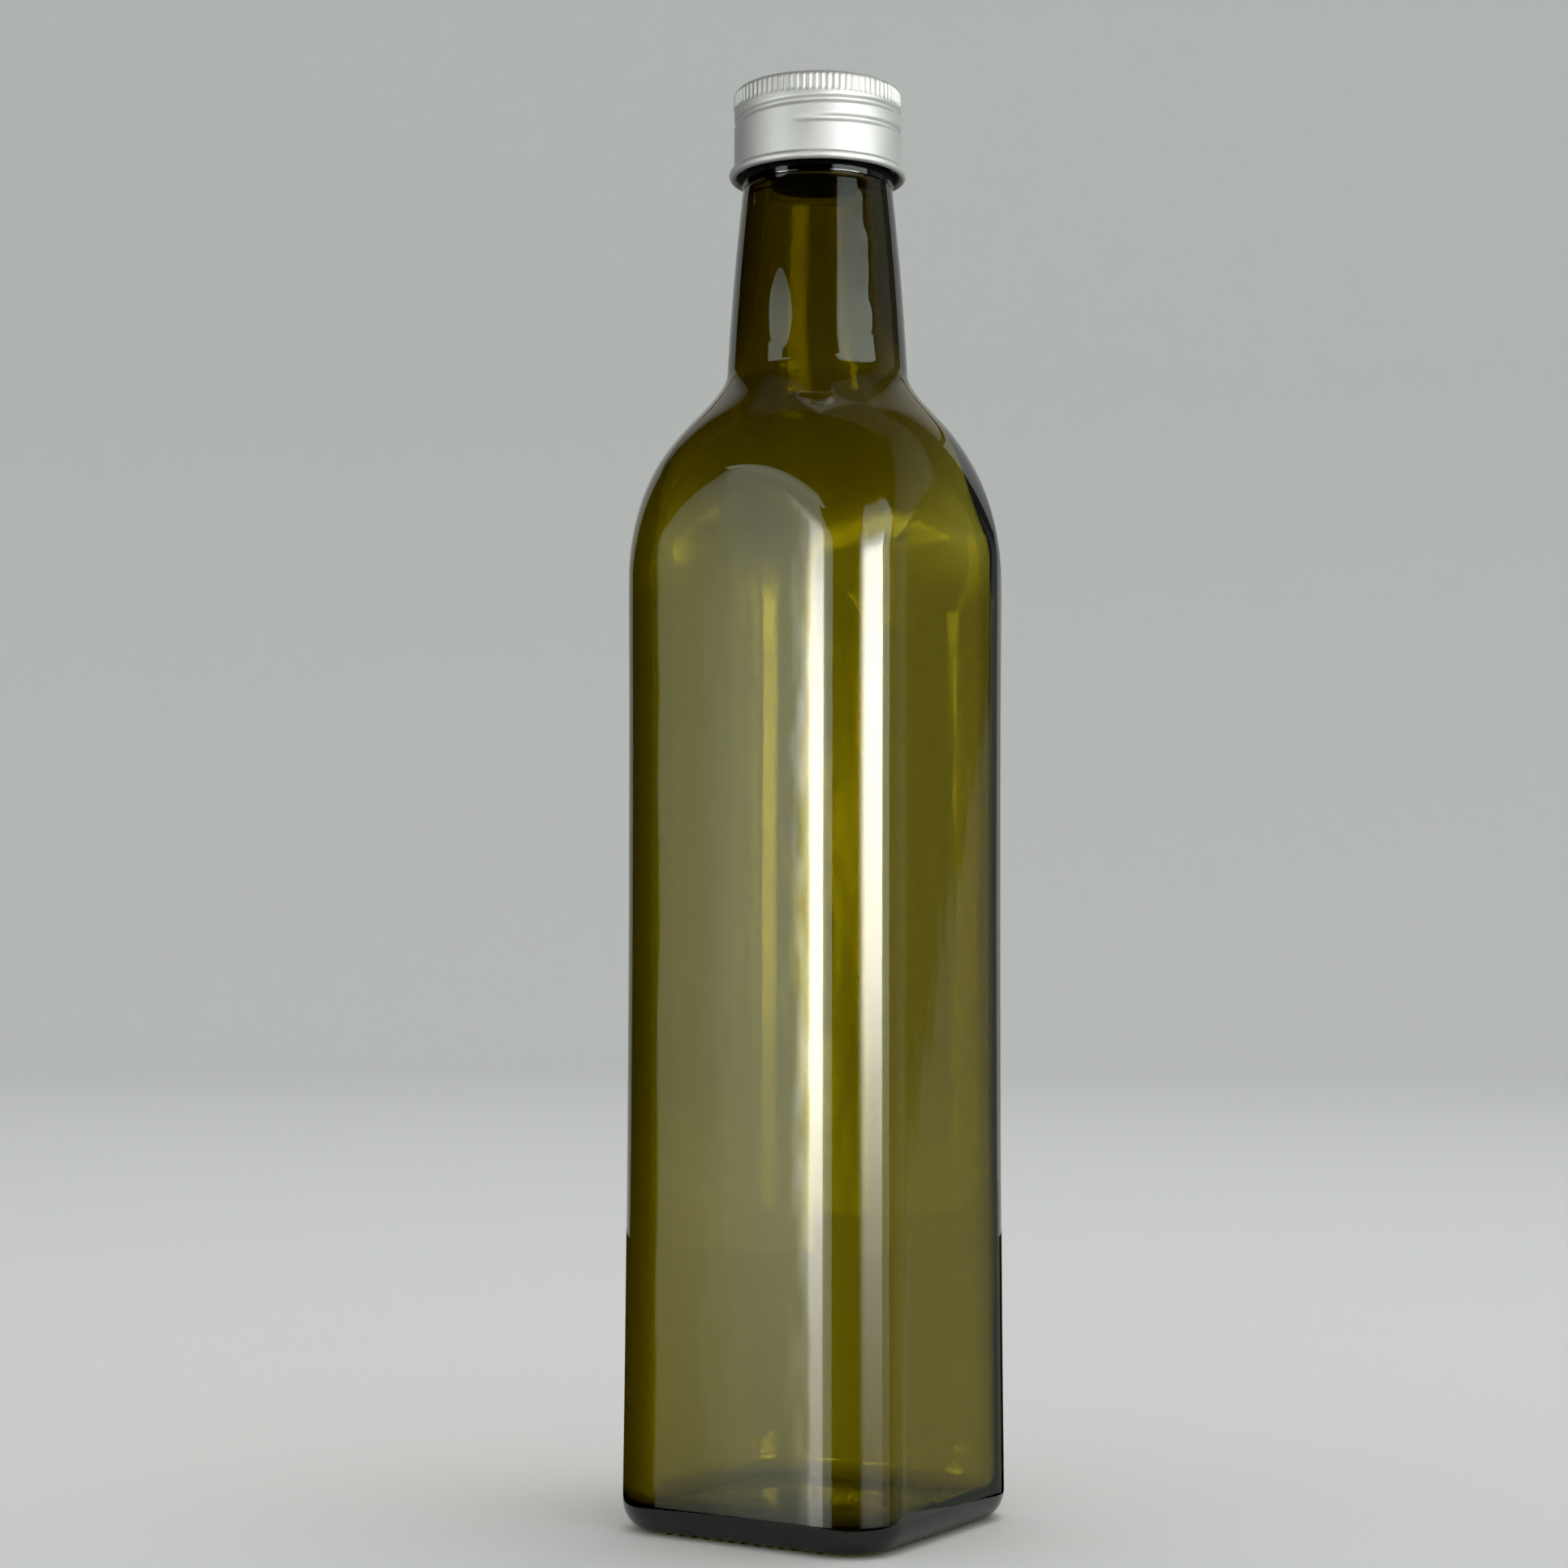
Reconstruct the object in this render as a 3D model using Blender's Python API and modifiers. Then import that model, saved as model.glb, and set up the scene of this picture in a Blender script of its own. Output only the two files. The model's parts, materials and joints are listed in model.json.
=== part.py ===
"""An empty square oil bottle of dark olive glass with its aluminium screw cap.

Metres, +Z up. The origin is the centre of the base, on the plane the bottle stands on.
The four flats face +X, -X, +Y and -Y. Two loose pieces make the object:

bottle  one blown glass shell: rounded-square body, domed shoulder, tapered round neck, open
        mouth, and short ribs under the bearing edge of the base
cap     an aluminium shell with a knurled top band, nearly one and a half turns of pressed
        thread, a plain skirt and a rolled foot
"""

import math

import bmesh
import bpy

MM = 0.001

# Glass body: a rounded square, slightly waisted
HALF_WIDTH = 28.27 * MM
WAIST = 0.33 * MM
WAIST_Z = 95 * MM
WAIST_REACH = 90 * MM
CORNER_RADIUS = 11.0 * MM
WALL = 2.5 * MM
INNER_CORNER_RADIUS = 10.6 * MM

# Shoulder: an arc turned about the bottle's axis, cut by the four flats
SHOULDER_Z = 170.1 * MM
SHOULDER_RADIUS = 48.8 * MM
SHOULDER_START = 37.7 * MM
FLAT_BLEND = 10.5 * MM
FLAT_BLEND_Z = 215 * MM
FLAT_BLEND_POWER = 0.85
NECK_BLEND = 6.4 * MM
SHOULDER_WALL = 4.2 * MM
SHOULDER_WALL_RISE = 16 * MM
INNER_NECK_BLEND = 15.0 * MM

# Neck: tapered and faintly convex, from its top under the finish down to the shoulder
NECK_TOP_Z = 249.2 * MM
NECK_TOP_RADIUS = 14.2 * MM
NECK_TAPER = 0.109
NECK_BOW = 0.8
NECK_WALL = 4.8 * MM
BORE_RADIUS = NECK_TOP_RADIUS - NECK_WALL

# Finish: the round mouth that the cap covers, left plain
PARTING_RADIUS = 14.1 * MM
COLLAR_RADIUS = 14.35 * MM
COLLAR_TOP_Z = 252.4 * MM
FINISH_RADIUS = 14.55 * MM
LIP_Z = 266.2 * MM
LIP_ROUND = 0.8 * MM

# Base: heel, bearing ring, shallow push-up and the ribs that the bottle stands on
HEEL_INSET = 4.0 * MM
HEEL_HEIGHT = 5.6 * MM
BEARING_Z = 0.45 * MM
BEARING_WIDTH = 3.0 * MM
PUSH_UP = 2.0 * MM
PUSH_UP_RADIUS = 19.0 * MM
FLOOR_Z = 4.2 * MM
FLOOR_CROWN = 1.4 * MM
FLOOR_CROWN_RADIUS = 19.0 * MM
INNER_HEEL_HEIGHT = 3.4 * MM
INNER_HEEL_INSET = 3.4 * MM
RIB_COUNT = 13
RIB_PITCH = 2.65 * MM
RIB_LENGTH = 2.4 * MM
RIB_WIDTH = 1.5 * MM
RIB_TOP_Z = 1.2 * MM
RIB_TAPER = 0.62
RIB_INSET = 4.8 * MM

# Cap
CAP_RADIUS = 15.88 * MM
CAP_TOP_RADIUS = 15.74 * MM
CAP_TOP_Z = 268.1 * MM
CAP_EDGE_ROUND = 0.8 * MM
CAP_WALL = 0.5 * MM
CAP_BORE = 14.95 * MM
CAP_CEILING_Z = 267.0 * MM
CAP_BORE_FOOT_Z = 258.0 * MM
SKIRT_TOP_Z = 257.4 * MM
CURL_Z = 252.1 * MM
CURL_OUT = 16.83 * MM
CURL_HEIGHT = 0.85 * MM
KNURL_TOP_Z = 267.3 * MM
KNURL_FOOT_Z = 264.4 * MM
KNURL_COUNT = 84
KNURL_HEIGHT = 0.22 * MM
KNURL_WIDTH = 0.8 * MM
THREAD_START_Z = 258.9 * MM
THREAD_PITCH = 3.6 * MM
THREAD_DEPTH = 0.45 * MM
THREAD_WIDTH = 2.0 * MM
THREAD_TURNS = 1.42
THREAD_FADE_IN = 0.08
THREAD_FADE_OUT = 0.14
THREAD_START_ANGLE = math.radians(-76)
THREAD_ROWS = 10

# How finely the round shapes are faceted
FLAT_STEPS = 7
CORNER_STEPS = 7
CAP_STEPS = 84
CURL_STEPS = 7
HEEL_STEPS = 4
CROWN_STEPS = 2
EDGE_STEPS = 3


def material(name, colour, roughness, metallic, transmission=0.0):
    """A Principled material."""
    made = bpy.data.materials.new(name)
    made.use_nodes = True
    shader = made.node_tree.nodes["Principled BSDF"]
    shader.inputs["Base Color"].default_value = (*colour, 1)
    shader.inputs["Roughness"].default_value = roughness
    shader.inputs["Metallic"].default_value = metallic
    shader.inputs["Transmission Weight"].default_value = transmission
    return made


def collection(name):
    """A new collection in the scene."""
    made = bpy.data.collections.new(name)
    bpy.context.scene.collection.children.link(made)
    return made


def smooth_min(a, b, reach):
    """The smaller of two lengths, rounded over where they come within reach of each other."""
    near = max(reach - abs(a - b), 0)
    if near == 0:
        return min(a, b)
    return min(a, b) - near * near / (4 * reach)


def square_radius(angle, half, corner):
    """Distance from the axis to a rounded square at a polar angle."""
    quarter = math.pi / 2
    off_flat = abs((angle + quarter / 2) % quarter - quarter / 2)
    centre = half - corner
    if off_flat <= math.atan2(centre, half):
        return half / math.cos(off_flat)
    off_diagonal = quarter / 2 - off_flat
    reach = centre * math.sqrt(2)
    return reach * math.cos(off_diagonal) + math.sqrt(corner ** 2 - (reach * math.sin(off_diagonal)) ** 2)


def half_width(z):
    """Half the width across the flats: least at the waist."""
    return HALF_WIDTH + WAIST * ((z - WAIST_Z) / WAIST_REACH) ** 2


def shoulder_arc(z, wall):
    """Radius of the arc that the shoulder is turned from, thinned by a wall."""
    rise = max(z - SHOULDER_Z, 0)
    arc = SHOULDER_RADIUS - wall
    return SHOULDER_START - SHOULDER_RADIUS + math.sqrt(max(arc ** 2 - rise ** 2, 0))


def cut_by_flats(turned, z, half, corner, angle):
    """A turned shoulder cut by the four flats, its edge softer the higher it lies."""
    square = square_radius(angle, half, corner)
    if z <= SHOULDER_Z:
        return square
    share = (z - SHOULDER_Z) / (FLAT_BLEND_Z - SHOULDER_Z)
    return smooth_min(turned, square, FLAT_BLEND * share ** FLAT_BLEND_POWER)


def neck_radius(z):
    """The outside of the neck, a slightly bowed cone."""
    drop = NECK_TOP_Z - z
    return NECK_TOP_RADIUS + NECK_TAPER * drop - NECK_BOW * drop ** 2


def outer_radius(z, angle):
    """The outside of the glass above the heel: the arc of the shoulder runs up into the neck."""
    turned = -smooth_min(-shoulder_arc(z, 0), -neck_radius(z), NECK_BLEND)
    return cut_by_flats(turned, z, half_width(min(z, SHOULDER_Z)), CORNER_RADIUS, angle)


def inner_radius(z, angle):
    """The inside of the glass above the inner heel: the wall thickens in the shoulder."""
    thickening = min(max(z - SHOULDER_Z, 0) / SHOULDER_WALL_RISE, 1)
    wall = WALL + (SHOULDER_WALL - WALL) * thickening
    bore = neck_radius(z) - NECK_WALL
    turned = -smooth_min(-shoulder_arc(z, wall), -bore, INNER_NECK_BLEND)
    half = half_width(min(z, SHOULDER_Z)) - WALL
    return cut_by_flats(turned, z, half, INNER_CORNER_RADIUS, angle)


def section_angles():
    """Polar angles of a section's points: finer over the four corners than over the flats."""
    centre = HALF_WIDTH - CORNER_RADIUS
    edge = math.atan2(centre, HALF_WIDTH)
    corner = math.pi / 2 - 2 * edge
    angles = []
    for side in range(4):
        start = side * math.pi / 2 - edge
        angles += [start + 2 * edge * i / FLAT_STEPS for i in range(FLAT_STEPS)]
        angles += [start + 2 * edge + corner * i / CORNER_STEPS for i in range(CORNER_STEPS)]
    return angles


def level(z, radius):
    """A section's points at one height, from a radius or from a rule that gives it by angle."""
    points = []
    for angle in section_angles():
        r = radius(angle) if callable(radius) else radius
        points.append((r * math.cos(angle), r * math.sin(angle), z))
    return points


def inset_level(z, inset, half, corner):
    """A rounded square drawn in by an inset, its corners sharpening with it."""
    round_off = max(corner - inset, 2 * MM)
    return level(z, lambda angle: square_radius(angle, half - inset, round_off))


def quarter_steps(count):
    """Pairs (sine, one less cosine) of evenly spaced angles from a quarter turn down to zero."""
    turns = [math.pi / 2 * (1 - i / count) for i in range(count + 1)]
    return [(math.sin(t), 1 - math.cos(t)) for t in turns]


def crown(foot_z, rise, radius):
    """Heights and radii of the rings of a low round dome, from its middle outwards."""
    shares = [i / (CROWN_STEPS + 1) for i in range(1, CROWN_STEPS + 1)]
    return [(foot_z + rise * (1 - share ** 2), radius * share) for share in shares]


def outer_levels():
    """The outside from the push-up under the base to the lip."""
    foot = half_width(0)
    levels = [level(z, radius) for z, radius in crown(BEARING_Z, PUSH_UP, PUSH_UP_RADIUS)]
    levels.append(inset_level(BEARING_Z, HEEL_INSET + BEARING_WIDTH, foot, CORNER_RADIUS))
    for sine, fall in quarter_steps(HEEL_STEPS):
        z = HEEL_HEIGHT - (HEEL_HEIGHT - BEARING_Z) * sine
        inset = HEEL_INSET * fall
        levels.append(inset_level(z, inset, half_width(z), CORNER_RADIUS))
    heights = [30, 62, 95, 132, 170, 177, 182, 186, 189.5, 192.5, 195.5, 198.5, 201.5, 204.5, 207.5]
    heights += [209.5, 211.5, 213.5, 216, 224, 233, 242, NECK_TOP_Z / MM]
    for height in heights:
        z = height * MM
        levels.append(level(z, lambda angle, z=z: outer_radius(z, angle)))
    step = 0.25 * MM
    levels.append(level(NECK_TOP_Z + step, PARTING_RADIUS))
    levels.append(level(NECK_TOP_Z + 2 * step, COLLAR_RADIUS))
    levels.append(level(COLLAR_TOP_Z, COLLAR_RADIUS))
    levels.append(level(COLLAR_TOP_Z + step, FINISH_RADIUS))
    for sine, fall in reversed(quarter_steps(EDGE_STEPS)):
        levels.append(level(LIP_Z - LIP_ROUND * (1 - sine), FINISH_RADIUS - LIP_ROUND * fall))
    return levels


def inner_levels():
    """The inside from the lip down to the floor."""
    levels = []
    for sine, fall in quarter_steps(EDGE_STEPS):
        levels.append(level(LIP_Z - LIP_ROUND * (1 - sine), BORE_RADIUS + LIP_ROUND * fall))
    levels.append(level(NECK_TOP_Z, BORE_RADIUS))
    for height in [232, 218, 212, 209, 206, 203, 200, 197, 194, 191, 188, 184, 179, 170, 95]:
        z = height * MM
        levels.append(level(z, lambda angle, z=z: inner_radius(z, angle)))
    for sine, fall in reversed(quarter_steps(HEEL_STEPS)):
        z = FLOOR_Z + INNER_HEEL_HEIGHT * (1 - sine)
        half = half_width(z) - WALL
        levels.append(inset_level(z, INNER_HEEL_INSET * fall, half, INNER_CORNER_RADIUS))
    levels += [level(z, radius) for z, radius in reversed(crown(FLOOR_Z, FLOOR_CROWN, FLOOR_CROWN_RADIUS))]
    return levels


def loft(name, levels, low_centre, high_centre):
    """A closed mesh through levels of equal point count, ended by a point at each end."""
    mesh = bmesh.new()
    rings = [[mesh.verts.new(point) for point in points] for points in levels]
    low = mesh.verts.new(low_centre)
    high = mesh.verts.new(high_centre)
    count = len(rings[0])
    for i in range(count):
        j = (i + 1) % count
        mesh.faces.new((low, rings[0][j], rings[0][i]))
        mesh.faces.new((high, rings[-1][i], rings[-1][j]))
        for below, above in zip(rings, rings[1:]):
            mesh.faces.new((below[i], below[j], above[j], above[i]))
    data = bpy.data.meshes.new(name)
    mesh.to_mesh(data)
    mesh.free()
    return bpy.data.objects.new(name, data)


def union(target, pieces):
    """Joins every object of a collection to the target, and removes them."""
    joined = target.modifiers.new("Union", "BOOLEAN")
    joined.operation = "UNION"
    joined.operand_type = "COLLECTION"
    joined.collection = pieces
    bake(target)
    for piece in list(pieces.objects):
        bpy.data.objects.remove(piece)
    bpy.data.collections.remove(pieces)


def bake(target):
    """Replaces an object's mesh by what its modifiers make of it."""
    bpy.context.view_layer.update()
    evaluated = target.evaluated_get(bpy.context.evaluated_depsgraph_get())
    target.data = bpy.data.meshes.new_from_object(evaluated)
    target.modifiers.clear()


def smooth(target, degrees):
    """Smooth shading with edges sharper than an angle kept."""
    target.data.shade_smooth()
    target.data.set_sharp_from_angle(angle=math.radians(degrees))


def tapered_block(name, across, along, low_z, high_z, taper):
    """A four-sided block, narrower by the taper at its lower end."""
    mesh = bmesh.new()
    bmesh.ops.create_cube(mesh, size=1)
    for vert in mesh.verts:
        share = taper if vert.co.z < 0 else 1
        vert.co.x *= across * share
        vert.co.y *= along * share
        vert.co.z = low_z if vert.co.z < 0 else high_z
    data = bpy.data.meshes.new(name)
    mesh.to_mesh(data)
    mesh.free()
    return bpy.data.objects.new(name, data)


def add_base_ribs(bottle):
    """The row of short ribs under each straight side, which the bottle stands on."""
    ribs = collection("base_ribs")
    out = half_width(0) - RIB_INSET
    for side in range(4):
        for i in range(RIB_COUNT):
            rib = tapered_block("rib", RIB_LENGTH, RIB_WIDTH, 0, RIB_TOP_Z, RIB_TAPER)
            shift = (i - (RIB_COUNT - 1) / 2) * RIB_PITCH
            turn = side * math.pi / 2
            rib.location.x = out * math.cos(turn) - shift * math.sin(turn)
            rib.location.y = out * math.sin(turn) + shift * math.cos(turn)
            rib.rotation_euler.z = turn
            ribs.objects.link(rib)
    union(bottle, ribs)


def make_bottle(parts):
    """The glass shell."""
    levels = outer_levels() + inner_levels()
    low = (0, 0, BEARING_Z + PUSH_UP)
    high = (0, 0, FLOOR_Z + FLOOR_CROWN)
    bottle = loft("bottle", levels, low, high)
    bottle.data.materials.append(material("olive_glass", (0.16, 0.13, 0.012), 0.03, 0.0, 1.0))
    parts.objects.link(bottle)
    add_base_ribs(bottle)
    smooth(bottle, 32)


def cap_profile():
    """Half the cap's section, from the axis over the top, down the outside and back up inside."""
    points = [(0, CAP_TOP_Z)]
    for sine, fall in quarter_steps(EDGE_STEPS):
        points.append((CAP_TOP_RADIUS - CAP_EDGE_ROUND * fall, CAP_TOP_Z - CAP_EDGE_ROUND * (1 - sine)))
    thread_top = KNURL_FOOT_Z - THREAD_WIDTH / 8
    points.append((CAP_TOP_RADIUS, thread_top + THREAD_WIDTH / 4))
    for i in range(THREAD_ROWS):
        points.append((CAP_RADIUS, thread_top + (SKIRT_TOP_Z - thread_top) * i / (THREAD_ROWS - 1)))
    curl_mid = (CURL_OUT + CAP_RADIUS - CAP_WALL) / 2
    curl_half = CURL_OUT - curl_mid
    start = math.radians(105)
    for i in range(CURL_STEPS):
        turn = start - (start + math.pi) * i / (CURL_STEPS - 1)
        points.append((curl_mid + curl_half * math.cos(turn), CURL_Z + CURL_HEIGHT * math.sin(turn)))
    points.append((CAP_RADIUS - CAP_WALL, CAP_BORE_FOOT_Z - CAP_WALL))
    points.append((CAP_BORE, CAP_BORE_FOOT_Z))
    points.append((CAP_BORE, CAP_CEILING_Z))
    points.append((0, CAP_CEILING_Z))
    return points


def turned(name, profile, steps):
    """A profile turned about Z with a Screw modifier, as a mesh."""
    data = bpy.data.meshes.new(name)
    verts = [(r, 0, z) for r, z in profile]
    data.from_pydata(verts, [(i, i + 1) for i in range(len(verts) - 1)], [])
    made = bpy.data.objects.new(name, data)
    bpy.context.scene.collection.objects.link(made)
    screw = made.modifiers.new("Turn", "SCREW")
    screw.axis = "Z"
    screw.steps = steps
    screw.render_steps = steps
    screw.use_merge_vertices = True
    screw.merge_threshold = 0.00001
    bake(made)
    bpy.context.scene.collection.objects.unlink(made)
    return made


def thread_depth(z, angle):
    """How deep the pressed thread is at a point of the cap's side."""
    turns_round = (angle - THREAD_START_ANGLE) / (2 * math.pi) % 1
    depth = 0
    for lap in range(math.ceil(THREAD_TURNS)):
        turns = turns_round + lap
        if turns > THREAD_TURNS:
            continue
        off = abs(z - THREAD_START_Z - THREAD_PITCH * turns) / (THREAD_WIDTH / 2)
        if off >= 1:
            continue
        fade = min(turns / THREAD_FADE_IN, (THREAD_TURNS - turns) / THREAD_FADE_OUT, 1)
        depth = max(depth, THREAD_DEPTH * fade * (1 + math.cos(math.pi * off)) / 2)
    return depth


def press_thread(cap):
    """Presses the thread into the outside of the cap."""
    for vert in cap.data.vertices:
        r = math.hypot(vert.co.x, vert.co.y)
        if abs(r - CAP_RADIUS) > CAP_WALL / 10:
            continue
        share = (r - thread_depth(vert.co.z, math.atan2(vert.co.y, vert.co.x))) / r
        vert.co.x *= share
        vert.co.y *= share


def add_knurl(cap):
    """The fine upright ribs round the top of the cap."""
    ribs = collection("knurl")
    for i in range(KNURL_COUNT):
        turn = 2 * math.pi * (i + 0.5) / KNURL_COUNT
        height = KNURL_TOP_Z - KNURL_FOOT_Z
        rib = tapered_block("knurl_rib", height, KNURL_WIDTH, -KNURL_HEIGHT, KNURL_HEIGHT, 1)
        for vert in rib.data.vertices:
            if vert.co.z > 0:
                vert.co.x *= 1 - KNURL_WIDTH / height
                vert.co.y *= 0.25
        rib.rotation_euler = (0, math.pi / 2, turn)
        facet = CAP_TOP_RADIUS * math.cos(math.pi / CAP_STEPS)
        rib.location = (facet * math.cos(turn), facet * math.sin(turn), (KNURL_TOP_Z + KNURL_FOOT_Z) / 2)
        ribs.objects.link(rib)
    union(cap, ribs)


def make_cap(parts):
    """The aluminium cap."""
    cap = turned("cap", cap_profile(), CAP_STEPS)
    parts.objects.link(cap)
    press_thread(cap)
    add_knurl(cap)
    cap.data.materials.clear()
    cap.data.materials.append(material("satin_aluminium", (0.78, 0.78, 0.79), 0.32, 1.0))
    smooth(cap, 32)


def main():
    for old in list(bpy.data.objects):
        bpy.data.objects.remove(old)
    parts = collection("square_oil_bottle")
    make_bottle(parts)
    make_cap(parts)


main()
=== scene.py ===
"""Looks of an empty square oil bottle: dark olive glass and a satin aluminium screw cap.

Metres, +Z up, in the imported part's frame. The glass and the cap are finer meshes that stand for
the two CAD nodes. Their dimensions are the CAD's, but for the inner wall of the shoulder and neck,
the knurl and the thread, which are fitted to the photograph. The camera stands where the
photograph's did, and angles round the bottle are counted from it: 0 is the camera's side, positive
to its right.
"""

import json
import math

import bmesh
import bpy
import numpy as np
from mathutils import Matrix, Vector

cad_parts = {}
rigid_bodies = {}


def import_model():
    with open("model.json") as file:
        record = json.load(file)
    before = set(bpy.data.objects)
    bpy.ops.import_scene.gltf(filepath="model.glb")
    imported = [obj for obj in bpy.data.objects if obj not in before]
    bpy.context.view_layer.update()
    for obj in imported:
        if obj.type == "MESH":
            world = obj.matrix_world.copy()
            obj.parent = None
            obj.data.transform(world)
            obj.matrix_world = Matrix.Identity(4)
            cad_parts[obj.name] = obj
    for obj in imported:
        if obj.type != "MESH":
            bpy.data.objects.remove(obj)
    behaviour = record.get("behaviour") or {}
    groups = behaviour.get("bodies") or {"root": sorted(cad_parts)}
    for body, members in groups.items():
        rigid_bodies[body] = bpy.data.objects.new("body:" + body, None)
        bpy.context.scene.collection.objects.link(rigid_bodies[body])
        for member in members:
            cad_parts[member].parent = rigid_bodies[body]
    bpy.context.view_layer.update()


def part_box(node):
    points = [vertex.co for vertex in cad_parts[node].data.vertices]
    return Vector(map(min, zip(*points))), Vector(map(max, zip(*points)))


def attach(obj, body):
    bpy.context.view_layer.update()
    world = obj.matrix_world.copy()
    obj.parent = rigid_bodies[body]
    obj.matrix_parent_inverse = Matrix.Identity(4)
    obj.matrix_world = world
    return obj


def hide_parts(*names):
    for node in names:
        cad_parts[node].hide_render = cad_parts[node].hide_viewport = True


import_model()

MM = 0.001

# The photograph's camera: a square frame seen through a 66.7 mm lens
CAMERA_AZIMUTH = 31.44
CAMERA_DISTANCE = 0.5438
CAMERA_HEIGHT = 0.1031
CAMERA_PITCH = 3.52
CAMERA_YAW = 0.645
CAMERA_ROLL = -0.145
CAMERA_LENS = 66.69
CAMERA_SENSOR = 36.0

# Glass body
HALF_WIDTH = 28.27 * MM
WAIST = 0.33 * MM
WAIST_Z = 95 * MM
WAIST_REACH = 90 * MM
CORNER_RADIUS = 11.0 * MM
WALL = 2.5 * MM
INNER_CORNER_RADIUS = 10.6 * MM

# Shoulder
SHOULDER_Z = 170.1 * MM
SHOULDER_RADIUS = 48.8 * MM
SHOULDER_START = 37.7 * MM
FLAT_BLEND = 10.5 * MM
FLAT_BLEND_Z = 215 * MM
FLAT_BLEND_POWER = 0.85
NECK_BLEND = 6.4 * MM
SHOULDER_WALL = 3.9 * MM
INNER_NECK_BLEND = 8.5 * MM

# Neck and finish
NECK_TOP_Z = 249.2 * MM
NECK_TOP_RADIUS = 14.2 * MM
NECK_TAPER = 0.109
NECK_BOW = 0.8
NECK_WALL = 4.8 * MM
NECK_THINNING = 0.6 * MM
NECK_THINNING_Z = 235 * MM
NECK_THINNING_REACH = 25 * MM
BORE_RADIUS = NECK_TOP_RADIUS - NECK_WALL
PARTING_RADIUS = 14.1 * MM
COLLAR_RADIUS = 14.35 * MM
COLLAR_TOP_Z = 252.4 * MM
FINISH_RADIUS = 14.55 * MM
LIP_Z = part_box("bottle")[1].z
LIP_ROUND = 0.8 * MM

# Base
HEEL_INSET = 4.0 * MM
HEEL_HEIGHT = 5.6 * MM
BEARING_Z = 0.45 * MM
BEARING_WIDTH = 3.0 * MM
PUSH_UP = 2.0 * MM
PUSH_UP_RADIUS = 19.0 * MM
FLOOR_Z = 4.2 * MM
FLOOR_CROWN = 1.4 * MM
FLOOR_CROWN_RADIUS = 19.0 * MM
INNER_HEEL_HEIGHT = 3.4 * MM
INNER_HEEL_INSET = 3.4 * MM
RIB_COUNT = 13
RIB_PITCH = 2.65 * MM
RIB_LENGTH = 2.4 * MM
RIB_WIDTH = 1.5 * MM
RIB_TOP_Z = 1.2 * MM
RIB_TAPER = 0.62
RIB_INSET = 4.8 * MM

# Flaws of the glass
MARK_Z = 207.2 * MM
MARK_HALF_WIDTH = 2.5 * MM
MARK_HALF_HEIGHT = 1.25 * MM
MARK_DEPTH = 0.3 * MM
FLOW_AZIMUTH = math.radians(36)
FLOW_SWAY = math.radians(2.2)
FLOW_LOW_Z = 215 * MM
FLOW_WIDTH = math.radians(4)
FLOW_HEIGHT = 0.13 * MM
CRINKLE_REACH = 5.0 * MM
CRINKLE_HEIGHT = 0.05 * MM
SEED_COUNT = 9
SHOULDER_DRIFT = 0.8 * MM
LEFT_THINNING = 1.8 * MM
RIGHT_THINNING = 0.9 * MM
SIDE_POWER = 6
DRIFT_LOW_Z = 171.1 * MM
DRIFT_TOP_Z = 222 * MM
DRIFT_FADE = 12 * MM
OUTER_WAVE = 0.008 * MM
INNER_WAVE = 0.030 * MM

# Cap
CAP_RADIUS = 15.88 * MM
CAP_TOP_RADIUS = 15.74 * MM
CAP_TOP_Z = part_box("cap")[1].z
CAP_EDGE_ROUND = 0.8 * MM
CAP_WALL = 0.5 * MM
CAP_BORE = 14.95 * MM
CAP_CEILING_Z = 267.0 * MM
CAP_NECK_TOP_Z = 258.0 * MM
CURL_Z = 252.1 * MM
CURL_OUT = 16.83 * MM
CURL_HEIGHT = 0.85 * MM
KNURL_TOP_Z = 267.3 * MM
KNURL_FOOT_Z = 264.2 * MM
KNURL_COUNT = 84
KNURL_HEIGHT = 0.28 * MM
THREAD_START_Z = 258.9 * MM
THREAD_PITCH = 3.6 * MM
THREAD_DEPTH = 0.58 * MM
THREAD_WIDTH = 1.8 * MM
THREAD_TURNS = 1.42
THREAD_FADE_IN = 0.08
THREAD_FADE_OUT = 0.14
THREAD_START_ANGLE = math.radians(-76)

# Fineness of the meshes
FLAT_STEPS = 22
CORNER_STEPS = 24
KNURL_STEPS = 8

# The glass's colour: light lost on each metre of its path, for red, green and blue
GLASS_LOSS = (290.0, 328.0, 1050.0)
GLASS_IOR = 1.52


def turned(degrees):
    """A polar angle in the part's frame from an angle counted from the camera's side."""
    return math.radians(CAMERA_AZIMUTH - 90 + degrees)


def smooth_min(a, b, reach):
    """The smaller of two lengths, rounded over where they come within reach of each other."""
    near = np.maximum(reach - np.abs(a - b), 0)
    return np.minimum(a, b) - near * near / (4 * np.maximum(reach, 1e-9))


def square_radius(angle, half, corner):
    """Distance from the axis to a rounded square at polar angles."""
    quarter = math.pi / 2
    off_flat = np.abs((angle + quarter / 2) % quarter - quarter / 2)
    centre = half - corner
    off_diagonal = quarter / 2 - off_flat
    reach = centre * math.sqrt(2)
    root = np.sqrt(np.maximum(corner ** 2 - (reach * np.sin(off_diagonal)) ** 2, 0))
    on_flat = off_flat <= np.arctan2(centre, half)
    return np.where(on_flat, half / np.cos(off_flat), reach * np.cos(off_diagonal) + root)


def half_width(z):
    """Half the width across the flats: least at the waist."""
    return HALF_WIDTH + WAIST * ((z - WAIST_Z) / WAIST_REACH) ** 2


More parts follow.
